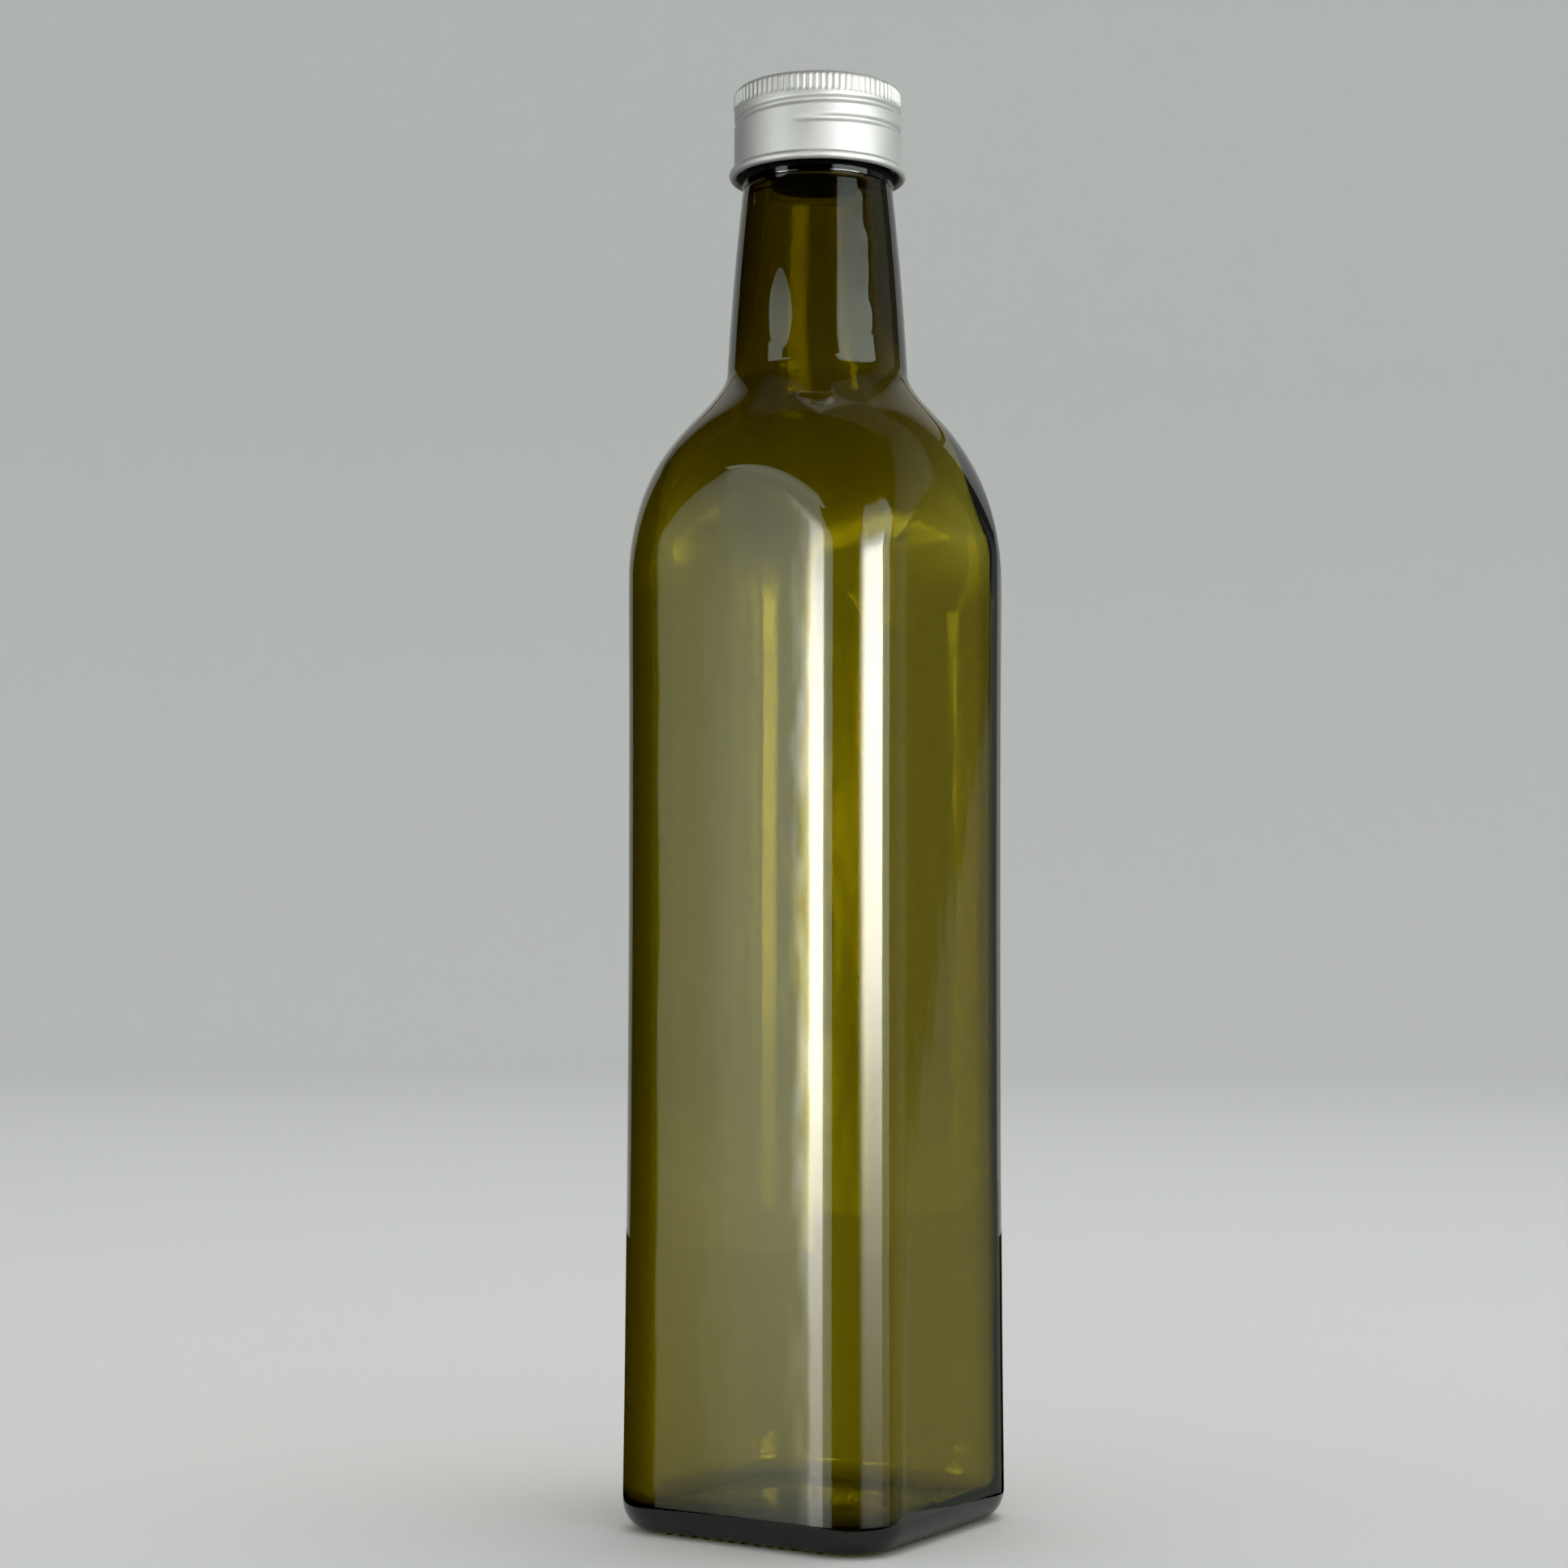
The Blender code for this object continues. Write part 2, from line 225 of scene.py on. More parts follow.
def shoulder_arc(z, wall):
    """Radius of the arc that the shoulder is turned from, thinned by a wall."""
    rise = np.maximum(z - SHOULDER_Z, 0)
    arc = SHOULDER_RADIUS - wall
    return SHOULDER_START - SHOULDER_RADIUS + np.sqrt(np.maximum(arc ** 2 - rise ** 2, 0))


def cut_by_flats(turned_radius, z, half, corner, angle):
    """A turned shoulder cut by the four flats, its edge softer the higher it lies."""
    square = square_radius(angle, half, corner)
    blend = FLAT_BLEND * (np.maximum(z - SHOULDER_Z, 0) / (FLAT_BLEND_Z - SHOULDER_Z)) ** FLAT_BLEND_POWER
    return np.where(z <= SHOULDER_Z, square, smooth_min(turned_radius, square, blend))


def neck_radius(z):
    """The outside of the neck, a slightly bowed cone."""
    drop = NECK_TOP_Z - z
    return NECK_TOP_RADIUS + NECK_TAPER * drop - NECK_BOW * drop ** 2


def outer_radius(z, angle):
    """The outside of the glass above the heel."""
    turned_radius = -smooth_min(-shoulder_arc(z, 0), -neck_radius(z), NECK_BLEND)
    return cut_by_flats(turned_radius, z, half_width(np.minimum(z, SHOULDER_Z)), CORNER_RADIUS, angle)


def inner_radius(z, angle):
    """The inside of the glass above the inner heel: the wall is thicker in the shoulder and neck."""
    thinning = NECK_THINNING * np.clip((NECK_THINNING_Z - z) / NECK_THINNING_REACH, 0, 1)
    bore = neck_radius(z) - NECK_WALL + thinning
    turned_radius = -smooth_min(-shoulder_arc(z, SHOULDER_WALL), -bore, INNER_NECK_BLEND)
    half = half_width(np.minimum(z, SHOULDER_Z)) - WALL
    return cut_by_flats(turned_radius, z, half, INNER_CORNER_RADIUS, angle)


def section_angles():
    """Polar angles of a section's points, finer over the corners."""
    edge = math.atan2(HALF_WIDTH - CORNER_RADIUS, HALF_WIDTH)
    flat = np.linspace(-edge, edge, FLAT_STEPS, endpoint=False)
    corner = np.linspace(edge, math.pi / 2 - edge, CORNER_STEPS, endpoint=False)
    side = np.concatenate([flat, corner])
    return np.concatenate([side + i * math.pi / 2 for i in range(4)])


def ripple(z, angle, seed, waves, length, turns):
    """A smooth uneven surface between about -1 and 1: a sum of waves over height and angle."""
    random = np.random.default_rng(seed)
    total = 0
    for _ in range(waves):
        along = random.uniform(-1, 1) * 2 * math.pi / length
        around = random.integers(-turns, turns + 1)
        phase = random.uniform(0, 2 * math.pi)
        total = total + np.sin(along * z + around * angle + phase)
    return total / math.sqrt(waves)


def band(value, low, high, soft):
    """One between two limits and nothing outside them, with soft ends."""
    return np.clip((value - low) / soft, 0, 1) * np.clip((high - value) / soft, 0, 1)


def bell(value, width):
    """A smooth rounded bump, one in the middle."""
    return np.exp(-(value / width) ** 2)


def from_camera(angle):
    """Azimuth in radians counted from the camera's side, positive to its right."""
    return (angle - turned(0) + math.pi) % (2 * math.pi) - math.pi


def mould_mark(z, angle):
    """The little rounded recess that the mould left at the foot of the neck."""
    across = from_camera(angle) * outer_radius(z, angle) / MARK_HALF_WIDTH
    up = (z - MARK_Z) / MARK_HALF_HEIGHT
    reach = (across ** 4 + up ** 4) ** 0.25
    return -MARK_DEPTH * np.clip((1.15 - reach) / 0.35, 0, 1) * (1 - up) / 2


def neck_flow(z, angle):
    """A wavy flow line down the right front of the neck."""
    sway = FLOW_SWAY * (math.sin(z / (2.3 * MM)) + 0.5 * math.sin(z / (1.1 * MM)))
    off = from_camera(angle) - FLOW_AZIMUTH - sway
    return FLOW_HEIGHT * bell(off, FLOW_WIDTH) * band(z, FLOW_LOW_Z, NECK_TOP_Z, 3 * MM)


def base_crinkle(z, angle):
    """Small crinkles of the inside just above the floor, where the glass first met the mould."""
    depth = bell(z - FLOOR_Z, CRINKLE_REACH) * CRINKLE_HEIGHT
    return ripple(z, angle, 11, 16, 4.5 * MM, 34) * depth


def quarter_arc(count):
    """Angles of a quarter turn from upright down to level."""
    return np.linspace(math.pi / 2, 0, count)


def crown_rows(foot_z, rise, radius, count):
    """Heights and radii of the rings of a low round dome, from its middle outwards."""
    shares = np.linspace(0, 1, count + 2)[1:-1]
    return foot_z + rise * (1 - shares ** 2), radius * shares


class Shell:
    """Collects rings of points, each a height and a radius for every angle."""

    def __init__(self, angles):
        self.angles = angles
        self.rings = []

    def add(self, z, radius):
        """Adds a ring at a height, of one radius or of a radius for each angle."""
        spread = np.ones_like(self.angles)
        self.rings.append(np.stack([spread * z, spread * radius], -1))

    def add_arc(self, turns, z_of, r_of):
        """Adds a ring for each angle of a rounded edge."""
        for turn in turns:
            self.add(z_of(turn), r_of(turn))

    def build(self, name, low, high):
        """A closed mesh through the rings, ended by a point on the axis at each end."""
        rings = np.array(self.rings)
        z, r = rings[..., 0], rings[..., 1]
        points = np.stack([r * np.cos(self.angles), r * np.sin(self.angles), z], -1)
        rows, columns = z.shape
        verts = np.concatenate([points.reshape(-1, 3), [[0, 0, low], [0, 0, high]]])
        grid = np.arange(rows * columns).reshape(rows, columns)
        right = np.roll(grid, -1, axis=1)
        quads = np.stack([grid[:-1], right[:-1], right[1:], grid[1:]], -1).reshape(-1, 4)
        first = np.full(columns, rows * columns)
        bottom = np.stack([first, right[0], grid[0]], -1)
        top = np.stack([first + 1, grid[-1], right[-1]], -1)
        data = bpy.data.meshes.new(name)
        data.from_pydata(verts.tolist(), [], quads.tolist() + bottom.tolist() + top.tolist())
        made = bpy.data.objects.new(name, data)
        bpy.context.scene.collection.objects.link(made)
        return made


def add_outside(shell):
    """The outside of the glass from the push-up under the base to the lip."""
    angle = shell.angles
    foot = half_width(0)
    for z, radius in zip(*crown_rows(BEARING_Z, PUSH_UP, PUSH_UP_RADIUS, 8)):
        shell.add(z, radius)
    inset = HEEL_INSET + BEARING_WIDTH
    shell.add(BEARING_Z, square_radius(angle, foot - inset, CORNER_RADIUS - inset))
    for turn in quarter_arc(20):
        z = HEEL_HEIGHT - (HEEL_HEIGHT - BEARING_Z) * math.sin(turn)
        inset = HEEL_INSET * (1 - math.cos(turn))
        shell.add(z, square_radius(angle, half_width(z) - inset, CORNER_RADIUS - inset))
    heights = [np.linspace(HEEL_HEIGHT, SHOULDER_Z, 42)[1:], np.linspace(SHOULDER_Z, 216 * MM, 100)[1:]]
    heights.append(np.linspace(216 * MM, NECK_TOP_Z, 44)[1:])
    for z in np.concatenate(heights):
        wave = ripple(z, angle, 3, 14, 34 * MM, 5) * OUTER_WAVE
        shell.add(z, outer_radius(z, angle) + wave + mould_mark(z, angle) + neck_flow(z, angle))
    step = 0.12 * MM
    shell.add(NECK_TOP_Z + step, PARTING_RADIUS)
    shell.add(NECK_TOP_Z + 2 * step, PARTING_RADIUS)
    for turn in quarter_arc(6):
        shell.add(NECK_TOP_Z + (5 - 3 * math.sin(turn)) * step,
                  COLLAR_RADIUS - (1 - math.cos(turn)) * (COLLAR_RADIUS - PARTING_RADIUS))
    for z in np.linspace(NECK_TOP_Z + 6 * step, COLLAR_TOP_Z, 8):
        shell.add(z, COLLAR_RADIUS)
    for z in np.linspace(COLLAR_TOP_Z + step, LIP_Z - LIP_ROUND, 16)[:-1]:
        shell.add(z, FINISH_RADIUS)
    for turn in reversed(quarter_arc(9)):
        z = LIP_Z - LIP_ROUND * (1 - math.sin(turn))
        shell.add(z, FINISH_RADIUS - LIP_ROUND * (1 - math.cos(turn)))


def add_inside(shell):
    """The inside of the glass from the lip down to the floor."""
    angle = shell.angles
    for turn in quarter_arc(9):
        z = LIP_Z - LIP_ROUND * (1 - math.sin(turn))
        shell.add(z, BORE_RADIUS + LIP_ROUND * (1 - math.cos(turn)))
    for z in np.linspace(LIP_Z - 2 * LIP_ROUND, NECK_TOP_Z, 14):
        shell.add(z, BORE_RADIUS)
    inner_heel_z = FLOOR_Z + INNER_HEEL_HEIGHT
    heights = [np.linspace(NECK_TOP_Z, 214 * MM, 34)[1:], np.linspace(214 * MM, SHOULDER_Z, 80)[1:]]
    heights.append(np.linspace(SHOULDER_Z, 20 * MM, 64)[1:])
    heights.append(np.linspace(20 * MM, inner_heel_z, 16)[1:])
    for z in np.concatenate(heights):
        shell.add(z, inner_radius(z, angle) + inner_wave(z, angle))
    for turn in reversed(quarter_arc(20)[:-1]):
        z = FLOOR_Z + INNER_HEEL_HEIGHT * (1 - math.sin(turn))
        inset = INNER_HEEL_INSET * (1 - math.cos(turn))
        half = half_width(z) - WALL - inset
        fade = math.cos(turn)
        shell.add(z, square_radius(angle, half, INNER_CORNER_RADIUS - inset) + inner_wave(z, angle) * fade)
    crown_z, crown_r = crown_rows(FLOOR_Z, FLOOR_CROWN, FLOOR_CROWN_RADIUS, 8)
    for z, radius in zip(crown_z[::-1], crown_r[::-1]):
        shell.add(z, radius)


def shoulder_drift(z, angle):
    """The shoulder's uneven wall: thicker on the left, thinner on the right, thinnest at both sides."""
    side = np.sin(from_camera(angle))
    thin = np.where(side < 0, LEFT_THINNING, RIGHT_THINNING) * np.abs(side) ** SIDE_POWER
    return (SHOULDER_DRIFT * side + thin) * band(z, DRIFT_LOW_Z, DRIFT_TOP_Z, DRIFT_FADE)


def inner_wave(z, angle):
    """How far the blown inner surface strays from its plain form."""
    fade = np.clip((NECK_TOP_Z - z) / (12 * MM), 0, 1)
    wave = ripple(z, angle, 8, 16, 52 * MM, 4) * INNER_WAVE * fade
    return wave + base_crinkle(z, angle) + shoulder_drift(z, angle)


def block(name, sizes, place, taper=1.0, rounding=0.0, collection=None):
    """A block with rounded edges, narrower by the taper at its lower end."""
    mesh = bmesh.new()
    bmesh.ops.create_cube(mesh, size=1)
    for vert in mesh.verts:
        share = taper if vert.co.z < 0 else 1
        vert.co = Vector((vert.co.x * sizes[0] * share, vert.co.y * sizes[1] * share, vert.co.z * sizes[2]))
    if rounding:
        bmesh.ops.bevel(mesh, geom=mesh.edges[:], offset=rounding, segments=3, affect="EDGES", profile=0.5)
    data = bpy.data.meshes.new(name)
    mesh.to_mesh(data)
    mesh.free()
    made = bpy.data.objects.new(name, data)
    made.matrix_world = place
    collection.objects.link(made)
    return made


def bake(target):
    """Replaces an object's mesh by what its modifiers make of it."""
    bpy.context.view_layer.update()
    evaluated = target.evaluated_get(bpy.context.evaluated_depsgraph_get())
    target.data = bpy.data.meshes.new_from_object(evaluated)
    target.modifiers.clear()


def add_ribs(glass):
    """Fuses the row of short ribs under each side of the base to the glass."""
    bits = bpy.data.collections.new("base_ribs")
    bpy.context.scene.collection.children.link(bits)
    out = half_width(0) - RIB_INSET
    for side in range(4):
        for i in range(RIB_COUNT):
            shift = (i - (RIB_COUNT - 1) / 2) * RIB_PITCH
            spin = Matrix.Rotation(side * math.pi / 2, 4, "Z")
            place = spin @ Matrix.Translation((out, shift, RIB_TOP_Z / 2))
            block("rib", (RIB_LENGTH, RIB_WIDTH, RIB_TOP_Z), place, RIB_TAPER, 0.16 * MM, bits)
    joined = glass.modifiers.new("Union", "BOOLEAN")
    joined.operation = "UNION"
    joined.solver = "MANIFOLD"
    joined.operand_type = "COLLECTION"
    joined.collection = bits
    bake(glass)
    for bit in list(bits.objects):
        bpy.data.objects.remove(bit)
    bpy.data.collections.remove(bits)


def add_seed(glass_mesh, azimuth, z, depth, sizes):
    """A closed air bubble in the glass: an inside-out ball below the outer surface."""
    angle = np.array([turned(azimuth)])
    radius = outer_radius(z, angle)[0] - depth
    place = Matrix.Translation((radius * math.cos(angle[0]), radius * math.sin(angle[0]), z))
    shape = place @ Matrix.Diagonal((*sizes, 1))
    ball = bmesh.ops.create_icosphere(glass_mesh, subdivisions=2, radius=1, matrix=shape)
    faces = {face for vert in ball["verts"] for face in vert.link_faces}
    for face in faces:
        face.normal_flip()


def add_seeds(glass):
    """The long bubble at the neck's left edge, and a few tiny seeds."""
    mesh = bmesh.new()
    mesh.from_mesh(glass.data)
    add_seed(mesh, -57, 245.8 * MM, 0.9 * MM, (0.3 * MM, 0.3 * MM, 1.2 * MM))
    add_seed(mesh, -35, 192 * MM, 0.8 * MM, (0.2 * MM, 0.2 * MM, 0.25 * MM))
    add_seed(mesh, 12.3, 100.5 * MM, 0.8 * MM, (0.22 * MM, 0.22 * MM, 0.3 * MM))
    random = np.random.default_rng(12)
    for _ in range(SEED_COUNT):
        azimuth = random.uniform(-180, 180)
        size = random.uniform(0.10, 0.2) * MM
        z = random.uniform(20, 235) * MM
        add_seed(mesh, azimuth, z, 1.1 * MM, (size, size, size * 1.5))
    mesh.to_mesh(glass.data)
    mesh.free()


def make_glass():
    """The bottle's glass, a fine mesh of its outside and inside."""
    shell = Shell(section_angles())
    add_outside(shell)
    add_inside(shell)
    glass = shell.build("glass", BEARING_Z + PUSH_UP, FLOOR_Z + FLOOR_CROWN)
    add_ribs(glass)
    add_seeds(glass)
    glass.data.shade_smooth()
    glass.data.set_sharp_from_angle(angle=math.radians(35))
    glass.data.materials.clear()
    glass.data.materials.append(glass_material())
    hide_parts("bottle")
    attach(glass, "root")
    return glass


def thread_depth(z, angle):
    """How deep the pressed thread is at a height, for every angle."""
    turns_round = (angle - THREAD_START_ANGLE) / (2 * math.pi) % 1
    depth = np.zeros_like(angle)
    for lap in range(math.ceil(THREAD_TURNS)):
        turns = turns_round + lap
        off = np.clip(np.abs(z - THREAD_START_Z - THREAD_PITCH * turns) / (THREAD_WIDTH / 2), 0, 1)
        fade = np.minimum(turns / THREAD_FADE_IN, (THREAD_TURNS - turns) / THREAD_FADE_OUT)
        fade = np.clip(fade, 0, 1)
        depth = np.maximum(depth, THREAD_DEPTH * fade * (1 + np.cos(math.pi * off)) / 2)
    return depth


def knurl_height(z, angle):
    """How far the knurl stands out at a height, for every angle."""
    fade_top = np.clip((KNURL_TOP_Z + 0.35 * MM - z) / (0.5 * MM), 0, 1)
    fade_foot = np.clip((z - KNURL_FOOT_Z) / (0.7 * MM), 0, 1)
    uneven = 0.8 + 0.2 * ripple(z, angle, 21, 8, 60 * MM, 9)
    wave = (1 + np.cos(KNURL_COUNT * angle)) / 2
    return KNURL_HEIGHT * wave ** 2 * uneven * np.minimum(fade_top, fade_foot)


def make_cap():
    """The aluminium cap: knurl, pressed thread, skirt and rolled foot."""
    angle = np.linspace(0, 2 * math.pi, KNURL_COUNT * KNURL_STEPS, endpoint=False)
    shell = Shell(angle)
    # Rings run from the ceiling inside, down and round the foot, then up and over the top
    for radius in (5 * MM, 10 * MM, CAP_BORE):
        shell.add(CAP_CEILING_Z, radius)
    shell.add(CAP_NECK_TOP_Z, CAP_BORE)
    shell.add(CAP_NECK_TOP_Z - CAP_WALL, CAP_RADIUS - CAP_WALL)
    curl_mid = (CURL_OUT + CAP_RADIUS - CAP_WALL) / 2
    curl_half = CURL_OUT - curl_mid
    for turn in np.radians(np.linspace(-180, 105, 24)):
        shell.add(CURL_Z + CURL_HEIGHT * math.sin(turn), curl_mid + curl_half * math.cos(turn))
    for z in np.linspace(CURL_Z + 1.1 * CURL_HEIGHT, KNURL_FOOT_Z, 62):
        dents = ripple(z, angle, 30, 12, 14 * MM, 7) * 0.012 * MM
        shell.add(z, CAP_RADIUS - thread_depth(z, angle) + dents)
    for z in np.linspace(KNURL_FOOT_Z, CAP_TOP_Z - CAP_EDGE_ROUND, 16)[1:-1]:
        share = np.clip((z - KNURL_FOOT_Z) / (0.6 * MM), 0, 1)
        base = CAP_RADIUS + (CAP_TOP_RADIUS - CAP_RADIUS) * share
        shell.add(z, base - thread_depth(z, angle) + knurl_height(z, angle))
    for turn in reversed(quarter_arc(10)):
        z = CAP_TOP_Z - CAP_EDGE_ROUND * (1 - math.sin(turn))
        shell.add(z, CAP_TOP_RADIUS - CAP_EDGE_ROUND * (1 - math.cos(turn)) + knurl_height(z, angle))
    for radius in np.array([14.2, 12, 9, 6, 3]) * MM:
        shell.add(CAP_TOP_Z, radius)
    cap = shell.build("cap_shell", CAP_CEILING_Z, CAP_TOP_Z)
    cap.data.shade_smooth()
    cap.data.set_sharp_from_angle(angle=math.radians(50))
    cap.data.materials.append(aluminium_material())
    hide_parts("cap")
    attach(cap, "root")
    return cap


class Nodes:
    """A material's node tree, with short calls to add and join nodes."""

    def __init__(self, name):
        self.material = bpy.data.materials.new(name)
        self.material.use_nodes = True
        self.tree = self.material.node_tree
        self.tree.nodes.clear()
        self.output = self.add("ShaderNodeOutputMaterial")

    def add(self, kind, **values):
        """Adds a node, and sets its properties or its inputs by name."""
        node = self.tree.nodes.new(kind)
        for name, value in values.items():
            if hasattr(node, name):
                setattr(node, name, value)
            else:
                node.inputs[name.replace("_", " ")].default_value = value
        return node

    def join(self, source, target):
        """Links an output socket to an input socket."""
        self.tree.links.new(source, target)

    def noise(self, scale, detail=2.0, stretch=(1, 1, 1)):
        """A noise value over the object's own coordinates."""
        place = self.add("ShaderNodeTexCoord")
        mapping = self.add("ShaderNodeMapping")
        mapping.inputs["Scale"].default_value = stretch
        self.join(place.outputs["Object"], mapping.inputs["Vector"])
        made = self.add("ShaderNodeTexNoise", Scale=scale, Detail=detail)
        self.join(mapping.outputs["Vector"], made.inputs["Vector"])
        return made.outputs["Fac"]

    def ranged(self, value, low, high, to_low, to_high):
        """A value mapped from one range to another and kept inside it."""
        made = self.add("ShaderNodeMapRange")
        limits = {"From Min": low, "From Max": high, "To Min": to_low, "To Max": to_high}
        for name, number in limits.items():
            made.inputs[name].default_value = number
        self.join(value, made.inputs["Value"])
        return made.outputs["Result"]

    def bump(self, height, strength, distance):
        """A bump normal from a height."""
        made = self.add("ShaderNodeBump", Strength=strength, Distance=distance)
        self.join(height, made.inputs["Height"])
        return made.outputs["Normal"]


def glass_material():
    """Dark olive glass: clear surfaces, colour from absorption, faint smears and ripples."""
    nodes = Nodes("olive_glass")
    shader = nodes.add("ShaderNodeBsdfPrincipled", IOR=GLASS_IOR)
    shader.inputs["Base Color"].default_value = (1, 1, 1, 1)
    shader.inputs["Transmission Weight"].default_value = 1
    smear = nodes.noise(28.0, 3.0, (1, 1, 0.35))
    nodes.join(nodes.ranged(smear, 0.55, 0.8, 0.0, 0.035), shader.inputs["Roughness"])
    ripples = nodes.noise(160.0, 1.0, (1, 1, 0.4))
    nodes.join(nodes.bump(ripples, 0.02, 0.001), shader.inputs["Normal"])
    nodes.join(shader.outputs["BSDF"], nodes.output.inputs["Surface"])
    density = max(GLASS_LOSS) * 1.02
    volume = nodes.add("ShaderNodeVolumeAbsorption")
    volume.inputs["Density"].default_value = density
    volume.inputs["Color"].default_value = (*[1 - loss / density for loss in GLASS_LOSS], 1)
    nodes.join(volume.outputs["Volume"], nodes.output.inputs["Volume"])
    return nodes.material


def aluminium_material():
    """Satin aluminium: a fine upright grain, cloudy roughness and small scuffs."""
    nodes = Nodes("satin_aluminium")
    shader = nodes.add("ShaderNodeBsdfPrincipled", Metallic=0.85)
    cloud = nodes.noise(160.0, 3.0)
    tint = nodes.add("ShaderNodeValToRGB")
    tint.color_ramp.elements[0].color = (0.45, 0.45, 0.45, 1)
    tint.color_ramp.elements[1].color = (0.53, 0.53, 0.525, 1)
    nodes.join(cloud, tint.inputs["Fac"])
    nodes.join(tint.outputs["Color"], shader.inputs["Base Color"])
    nodes.join(nodes.ranged(cloud, 0.3, 0.7, 0.58, 0.66), shader.inputs["Roughness"])
    grain = nodes.noise(900.0, 2.0, (1, 1, 0.12))
    nodes.join(nodes.bump(grain, 0.25, 0.00004), shader.inputs["Normal"])
    nodes.join(shader.outputs["BSDF"], nodes.output.inputs["Surface"])
    return nodes.material


def plain_material(name, colour):
    """A matt material for the floor and the walls."""
    nodes = Nodes(name)
    shader = nodes.add("ShaderNodeBsdfPrincipled", Roughness=1.0)
    shader.inputs["Base Color"].default_value = (*colour, 1)
    shader.inputs["Specular IOR Level"].default_value = 0.0
    nodes.join(shader.outputs["BSDF"], nodes.output.inputs["Surface"])
    return nodes.material


def turned_patch(name, profile, start, end, steps):
    """An open surface: a profile of radii and heights turned between two camera-side angles."""
    angles = np.radians(np.linspace(start, end, steps + 1)) + turned(0)
    verts = [(r * math.cos(a), r * math.sin(a), z) for a in angles for r, z in profile]
    count = len(profile)
    faces = []
    for i in range(steps):
        for j in range(count - 1):
            first = i * count + j
            faces.append((first, first + count, first + count + 1, first + 1))
    data = bpy.data.meshes.new(name)
    data.from_pydata(verts, [], faces)
    layer = data.uv_layers.new(name="spread")
    for loop in data.loops:
        column, row = divmod(loop.vertex_index, count)
        layer.data[loop.index].uv = (column / steps, row / (count - 1))
    data.shade_smooth()
    made = bpy.data.objects.new(name, data)
    bpy.context.scene.collection.objects.link(made)
    return made


FLOOR_FOOT = 0.05
FLOOR_NEAR = 0.6
FLOOR_FAR = 2.2
SWEEP_RADIUS = 0.8
WALL_TOP = 1.7
BACKDROP_SIDE = 118
GLOSS_SIDE = 133


def make_stage():
    """A pale floor that sweeps up into a round wall. The front half of it doesn't show in the glass."""
    matt = plain_material("pale_matt", (0.8, 0.81, 0.8))
    foot = turned_patch("floor_foot", [(1e-4, 0), (FLOOR_FOOT, 0)], 0, 360, 128)
    near = turned_patch("floor_near", [(FLOOR_FOOT, 0), (FLOOR_NEAR, 0)], 0, 360, 128)
    sweep = [(FLOOR_NEAR, 0), (FLOOR_FAR, 0)]
    for turn in np.linspace(0, math.pi / 2, 24)[1:]:
        sweep.append((FLOOR_FAR + SWEEP_RADIUS * math.sin(turn), SWEEP_RADIUS * (1 - math.cos(turn))))
    sweep.append((FLOOR_FAR + SWEEP_RADIUS, WALL_TOP))
    back = turned_patch("backdrop", sweep, GLOSS_SIDE, 360 - GLOSS_SIDE, 64)
    left = turned_patch("backdrop_left", sweep, -GLOSS_SIDE, -BACKDROP_SIDE, 32)
    right = turned_patch("backdrop_right", sweep, BACKDROP_SIDE, GLOSS_SIDE, 32)
    front = turned_patch("surround", sweep, -BACKDROP_SIDE, BACKDROP_SIDE, 160)
    for piece in (near, left, right, front):
        piece.visible_glossy = False
    front.visible_transmission = False
    for piece in (foot, near, left, right, back, front):
        piece.data.materials.append(matt)
        piece.visible_shadow = False


def emission_material(name, colour, across, upward, strength):
    """A light panel whose brightness follows two ramps. It adds to what lies behind it."""
    nodes = Nodes(name)
    place = nodes.add("ShaderNodeUVMap")
    split = nodes.add("ShaderNodeSeparateXYZ")
    nodes.join(place.outputs["UV"], split.inputs["Vector"])
    product = nodes.add("ShaderNodeMath", operation="MULTIPLY")
    for index, (socket, stops) in enumerate((("X", across), ("Y", upward))):
        ramp = nodes.add("ShaderNodeValToRGB")
        elements = ramp.color_ramp.elements
        while len(elements) < len(stops):
            elements.new(0.5)
        for element, (position, value) in zip(elements, stops):
            element.position = position
            element.color = (value, value, value, 1)
        nodes.join(split.outputs[socket], ramp.inputs["Fac"])
        nodes.join(ramp.outputs["Color"], product.inputs[index])
    scaled = nodes.add("ShaderNodeMath", operation="MULTIPLY")
    scaled.inputs[1].default_value = strength
    nodes.join(product.outputs["Value"], scaled.inputs[0])
    light = nodes.add("ShaderNodeEmission")
    light.inputs["Color"].default_value = (*colour, 1)
    nodes.join(scaled.outputs["Value"], light.inputs["Strength"])
    clear = nodes.add("ShaderNodeBsdfTransparent")
    both = nodes.add("ShaderNodeAddShader")
    nodes.join(light.outputs["Emission"], both.inputs[0])
    nodes.join(clear.outputs["BSDF"], both.inputs[1])
    nodes.join(both.outputs["Shader"], nodes.output.inputs["Surface"])
    return nodes.material


PANEL_DISTANCE = 0.9
PANEL_FOOT = -0.18
PANEL_ROWS = 25
PANEL_COLUMNS = 48
STRIP_COLOUR = (1, 0.99, 0.97)
VEIL_COLOUR = (0.88, 1, 0.9)
CEILING_Z = 2.7
CEILING_RADIUS = 1.7


def only_mirrored(piece):
    """Hides a panel from the camera and from all matt surfaces."""
    piece.visible_camera = False
    piece.visible_diffuse = False
    piece.visible_shadow = False


